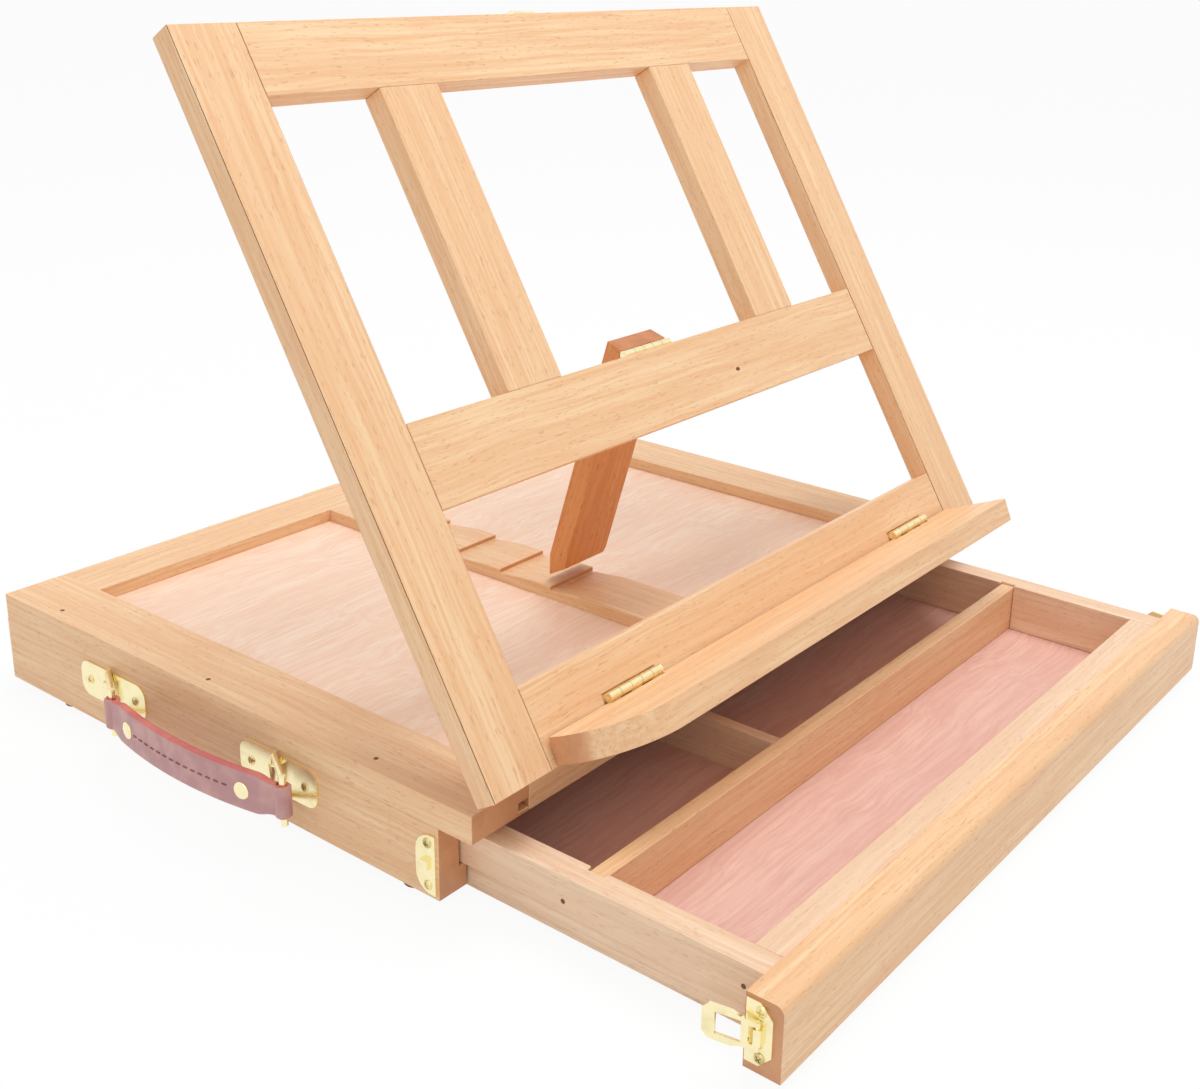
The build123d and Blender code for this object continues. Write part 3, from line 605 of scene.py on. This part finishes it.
# %% Sweep the band
def joint_place(name):
    return Vector(joints[name]["pos_m"])


# the strap hangs in two rings as far apart as the rings' own pivots on the box
back_eye = joint_place("strap_swing")
front_eye = back_eye + joint_place("ring_front_swing") - joint_place("ring_back_swing")
BULGE = 6.0 * MM
HALF_WIDE, HALF_NECK, HALF_THICK = 7.8 * MM, 6.2 * MM, 1.7 * MM
NECK, SHOULDER, SOFT_EDGE = 4.0 * MM, 7.0 * MM, 0.9 * MM
EYE_OUTER, EYE_INNER, EYE_EDGE = 3.0 * MM, 1.62 * MM, 0.6 * MM
SWEEP_STEPS, CORNER_STEPS, EYE_SIDES = 72, 5, 28
chord = (back_eye - front_eye).length
bow_radius = (chord * chord / 4 + BULGE * BULGE) / (2 * BULGE)
bow_centre = Vector((back_eye.x - BULGE + bow_radius, (back_eye.y + front_eye.y) / 2, back_eye.z))
bow_half = math.asin(chord / 2 / bow_radius)


def bow(share):
    """Point on the middle of the band and its outward direction, share from 0 back to 1 front."""
    angle = bow_half * (1 - 2 * share)
    out = Vector((-math.cos(angle), math.sin(angle), 0))
    return bow_centre + out * bow_radius, out


def half_height(share):
    """Half the band's width: narrow at the neck by each eye, then a smooth shoulder to full width."""
    near_end = min(share, 1 - share) * chord
    rise = min(1.0, max(0.0, (near_end - NECK) / SHOULDER))
    return HALF_NECK + (HALF_WIDE - HALF_NECK) * (rise * rise * (3 - 2 * rise))


def section():
    """The band's rounded corners: how far out, which half of the width, and how far up from there."""
    points = []
    for sx, sz, first in ((1, 1, 0), (-1, 1, 90), (-1, -1, 180), (1, -1, 270)):
        for k in range(CORNER_STEPS):
            angle = math.radians(first + 90 * k / (CORNER_STEPS - 1))
            outward = sx * (HALF_THICK - SOFT_EDGE) + SOFT_EDGE * math.cos(angle)
            points.append((outward, sz, SOFT_EDGE * math.sin(angle)))
    return points


def join_rings(made, lower, upper):
    for k in range(len(lower)):
        j = (k + 1) % len(lower)
        made.faces.new((lower[k], lower[j], upper[j], upper[k]))


def add_eye(made, eye):
    """The fold round a ring: a rounded sleeve over the end of the band."""
    profile = [(EYE_OUTER, EYE_EDGE - HALF_NECK), (EYE_OUTER - EYE_EDGE, -HALF_NECK),
               (EYE_INNER, -HALF_NECK), (EYE_INNER, HALF_NECK),
               (EYE_OUTER - EYE_EDGE, HALF_NECK), (EYE_OUTER, HALF_NECK - EYE_EDGE)]
    place = Matrix.Translation(eye)
    rings = [ring(made, radius, height, EYE_SIDES, place) for radius, height in profile]
    for lower, upper in zip(rings, rings[1:] + rings[:1]):
        join_rings(made, lower, upper)


def sweep_band():
    made, rings = bmesh.new(), []
    for k in range(SWEEP_STEPS + 1):
        share = k / SWEEP_STEPS
        middle, out = bow(share)
        half = half_height(share) - SOFT_EDGE
        rings.append([made.verts.new(middle + out * x + Vector((0, 0, sz * half + dz)))
                      for x, sz, dz in section()])
    for lower, upper in zip(rings, rings[1:]):
        join_rings(made, lower, upper)
    made.faces.new(rings[0])
    made.faces.new(list(reversed(rings[-1])))
    for eye in (back_eye, front_eye):
        add_eye(made, eye)
    bmesh.ops.recalc_face_normals(made, faces=made.faces)
    return made


# a face that looks up by more than this is part of the red painted edge
UPWARD = 0.75
strap = to_object(sweep_band(), "leather_strap", plum)
strap.data.materials.append(red_edge)
for face in strap.data.polygons:
    face.material_index = 1 if face.normal.z > UPWARD else 0
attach(strap, "strap")
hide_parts("handle_strap")
print("strap", len(strap.data.polygons), "faces, chord", round(chord, 4))

# %% [markdown]
# ## Stitches
# One dashed row runs along the middle of the strap's outside. A dark stripe in the material would
# lie flat, so each stitch is a small round-ended capsule of thread that stands half out of the
# leather and catches its own light.

# %% Stitch it
FIRST_STITCH, LAST_STITCH, PITCH, STITCH = 0.22, 0.79, 0.04, 0.02
THREAD, PROUD = 0.36 * MM, 0.02 * MM
THREAD_SIDES = 8


def capsule(made, start, finish, radius):
    """A thread from start to finish: a rounded tip, a straight run and a rounded tip."""
    place = facing(start, (finish - start).normalized())
    run = (finish - start).length / radius
    tip = ((0.35, -0.6), (0.85, -0.25), (1.0, 0.2))
    profile = tip + tuple((r, run - z) for r, z in reversed(tip))
    rings = [ring(made, radius * r, radius * z, THREAD_SIDES, place) for r, z in profile]
    for lower, upper in zip(rings, rings[1:]):
        join_rings(made, lower, upper)
    made.faces.new(list(reversed(rings[0])))
    made.faces.new(rings[-1])


def stitches():
    made, share, count = bmesh.new(), FIRST_STITCH, 0
    while share + STITCH < LAST_STITCH:
        a, out_a = bow(share)
        b, out_b = bow(share + STITCH)
        capsule(made, a + out_a * (HALF_THICK + PROUD), b + out_b * (HALF_THICK + PROUD), THREAD)
        share, count = share + PITCH, count + 1
    print("stitches", count)
    return made


seam = to_object(stitches(), "strap_stitches", thread)
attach(seam, "strap")

# %% [markdown]
# ## Rivets
# One brass rivet holds each folded end. Its head is a low pale dome on the outside, with a flat
# washer inside, so both are turned and set against the band.

# %% Turn the rivets
RIVET_INSET, RIVET_SIDES = 17.0 * MM, 32
rivet_dome = [(0, -0.1 * MM), (3.4 * MM, -0.1 * MM), (3.4 * MM, 0.25 * MM), (3.0 * MM, 0.5 * MM),
              (2.0 * MM, 0.68 * MM), (0, 0.75 * MM)]
washer = [(0, -0.1 * MM), (2.7 * MM, -0.1 * MM), (2.7 * MM, 0.4 * MM), (2.3 * MM, 0.6 * MM),
          (0, 0.6 * MM)]


def add_form(made, form, place):
    """Carries a turned form to its place and adds it to the mesh being made."""
    form.transform(place)
    data = bpy.data.meshes.new("form")
    form.to_mesh(data)
    form.free()
    made.from_mesh(data)
    bpy.data.meshes.remove(data)


def rivets():
    made = bmesh.new()
    inset = RIVET_INSET / (2 * bow_half * bow_radius)
    for share in (inset, 1 - inset):
        middle, out = bow(share)
        for profile, way in ((rivet_dome, out), (washer, -out)):
            add_form(made, lathe(profile, RIVET_SIDES), facing(middle + way * HALF_THICK, way))
    return made


rivet_piece = to_object(rivets(), "strap_rivets", plate_brass)
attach(rivet_piece, "strap")
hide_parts("handle_rivets")
print("rivets set at", round(RIVET_INSET / MM, 1), "mm from each end")

# %% [markdown]
# ## Nail heads
# Small pins hold the rails and the drawer. Their heads sit just under the surface, filled dark, and
# show as dots. Each is a shallow turned button let into the wood by all but a hair.

# %% Dark dots of the pins
FILLER_SCALE, PIN_SIDES = 900.0, 16
pin = [(0, -0.4 * MM), (0.9 * MM, -0.4 * MM), (0.9 * MM, 0.03 * MM), (0.6 * MM, 0.06 * MM),
       (0, 0.06 * MM)]


def dark_filler():
    material, tree, shader = start_material("nail_filler", 0.7)
    here = tree.nodes.new("ShaderNodeTexCoord").outputs["Object"]
    tone = mix_colour(tree, noise(tree, here, FILLER_SCALE), srgb(96, 62, 44), srgb(126, 84, 58))
    tree.links.new(tone, shader.inputs["Base Color"])
    return material


filler = dark_filler()


def nail_heads(name, body, places, way, wide=1.0, tall=1.0):
    made, stretch = bmesh.new(), Matrix.Diagonal((wide, tall, 1, 1))
    for place in places:
        add_form(made, lathe(pin, PIN_SIDES), facing(place, way) @ stretch)
    piece = to_object(made, name, filler)
    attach(piece, body)
    print(name, len(places))


rail_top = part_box("rim_left_rail")[1].z
RAIL_PIN_X, RAIL_PIN_YS = -157.2 * MM, (160.75 * MM, 65.75 * MM, -25.25 * MM)
nail_heads("rail_pins", "box", [(RAIL_PIN_X, y, rail_top) for y in RAIL_PIN_YS], (0, 0, 1))
drawer_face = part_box("drawer_left_side")[0].x
DRAWER_PINS = ((-105.25 * MM, 18.5 * MM), (-174.95 * MM, 20.2 * MM))
nail_heads("drawer_pins", "drawer", [(drawer_face, y, z) for y, z in DRAWER_PINS], (-1, 0, 0))

# %% [markdown]
# ## A knot
# One small dark pin knot sits right of the middle of the crossrail. It is let into the face like
# the pins, but wider than it is tall, because the plank was cut along it.

# %% Set the knot on the crossrail's face
KNOT_X, KNOT_UP = 44.5 * MM, 106.7 * MM
KNOT_WIDE, KNOT_TALL = 1.5, 0.9
face_way = Vector((0, -math.sin(TILT), math.cos(TILT)))
hinge_line = joint_place("frame_fold")
front = max(vert.co.dot(face_way) for vert in nodes["middle_rail"].data.vertices)
knot = hinge_line + Vector(UP_FRAME) * KNOT_UP + face_way * (front - hinge_line.dot(face_way))
knot.x = KNOT_X
nail_heads("crossrail_knot", "easel_frame", [knot], face_way, KNOT_WIDE, KNOT_TALL)

# %% [markdown]
# ## Studio
# The photograph has a plain white ground. The floor takes the object's soft shadow, and most of it
# is plain white to the camera and in reflections, so no extra lamp is needed to bleach it. The
# light that falls on the object doesn't change with that.

# %% Floor and world
FLOOR_HALF, FLOOR_GLOW, SKY_STRENGTH = 150.0, 0.93, 0.55


def seen_ray(tree):
    """1 where the eye looks straight at a surface, in a mirror or through glass, and 0 for lighting."""
    path = tree.nodes.new("ShaderNodeLightPath")
    seen = math_node(tree, "MAXIMUM", path.outputs["Is Camera Ray"], path.outputs["Is Glossy Ray"])
    return math_node(tree, "MAXIMUM", seen, path.outputs["Is Transmission Ray"])


def blend_to(tree, amount, plain, shown, finish):
    """Mixes two shaders by an amount and sends the result to the output node's surface."""
    blend = tree.nodes.new("ShaderNodeMixShader")
    tree.links.new(amount, blend.inputs[0])
    tree.links.new(plain.outputs[0], blend.inputs[1])
    tree.links.new(shown.outputs[0], blend.inputs[2])
    tree.links.new(blend.outputs[0], tree.nodes[finish].inputs["Surface"])


def white_floor():
    material, tree, shader = start_material("pale_floor", 0.9)
    shader.inputs["Base Color"].default_value = (0.95, 0.95, 0.95, 1)
    glow = tree.nodes.new("ShaderNodeEmission")
    blend_to(tree, times(tree, seen_ray(tree), FLOOR_GLOW), shader, glow, "Material Output")
    return material


ground = bmesh.new()
bmesh.ops.create_grid(ground, x_segments=4, y_segments=4, size=FLOOR_HALF)
floor = to_object(ground, "floor", white_floor(), smooth=False)

world = bpy.data.worlds.new("studio")
bpy.context.scene.world = world
world.use_nodes = True
sky = world.node_tree
soft = sky.nodes["Background"]
white = sky.nodes.new("ShaderNodeBackground")
for background, strength in ((soft, SKY_STRENGTH), (white, 1.0)):
    background.inputs["Color"].default_value = (1, 1, 1, 1)
    background.inputs["Strength"].default_value = strength
blend_to(sky, seen_ray(sky), soft, white, "World Output")
print("floor", round(floor.dimensions.x), "m wide, sky strength", SKY_STRENGTH)

# %% [markdown]
# ## Lamps
# A wide square lamp above stands for the studio's soft box, and a weaker one at the left front opens
# the shadows on the side of the box. Large lamps give soft shadow edges, and both are weak enough
# for the pale wood to keep its colour.

# %% Lamps
LAMP_AIM = (0, 0, 0.1)


def soft_lamp(name, place, size, power):
    data = bpy.data.lights.new(name, "AREA")
    data.shape, data.size, data.energy = "SQUARE", size, power
    lamp = bpy.data.objects.new(name, data)
    bpy.context.scene.collection.objects.link(lamp)
    lamp.location = place
    lamp.rotation_euler = (Vector(LAMP_AIM) - Vector(place)).to_track_quat("-Z", "Y").to_euler()
    print("lamp", name, power, "W")


soft_lamp("key", (0.2, -0.18, 1.65), size=0.9, power=15.5)
soft_lamp("fill", (-1.3, -0.5, 0.8), size=1.0, power=2.6)

# %% [markdown]
# ## Camera
# The view was worked out from the corners of the box, the frame and the drawer in the photograph.
# The camera stands at the front left and a little above, with a very slight roll.

# %% Set the camera
EYE, TARGET = Vector((-0.46907, -0.37740, 0.31064)), Vector((0.02260, -0.01421, 0.10609))
ROLL = 0.029
PHOTO_WIDTH, FOCAL_PIXELS, SENSOR = 1200.0, 1530.97, 36.0
look = (TARGET - EYE).normalized()
right = look.cross(Vector((0, 0, 1))).normalized()
upward = right.cross(look)
side = right * math.cos(ROLL) + upward * math.sin(ROLL)
top = upward * math.cos(ROLL) - right * math.sin(ROLL)
turn = Matrix((side, top, -look)).transposed().to_4x4()
lens = bpy.data.cameras.new("camera")
lens.sensor_fit, lens.sensor_width = "HORIZONTAL", SENSOR
lens.lens = FOCAL_PIXELS * SENSOR / PHOTO_WIDTH
lens.shift_x, lens.shift_y = -0.0606, -0.0794
lens.clip_start = 0.01
camera = bpy.data.objects.new("camera", lens)
bpy.context.scene.collection.objects.link(camera)
camera.matrix_world = Matrix.Translation(EYE) @ turn
bpy.context.scene.camera = camera
bpy.context.scene.view_settings.view_transform = "Standard"
print("camera lens", round(lens.lens, 2), "mm")

# %% Finish: update the scene
bpy.context.view_layer.update()
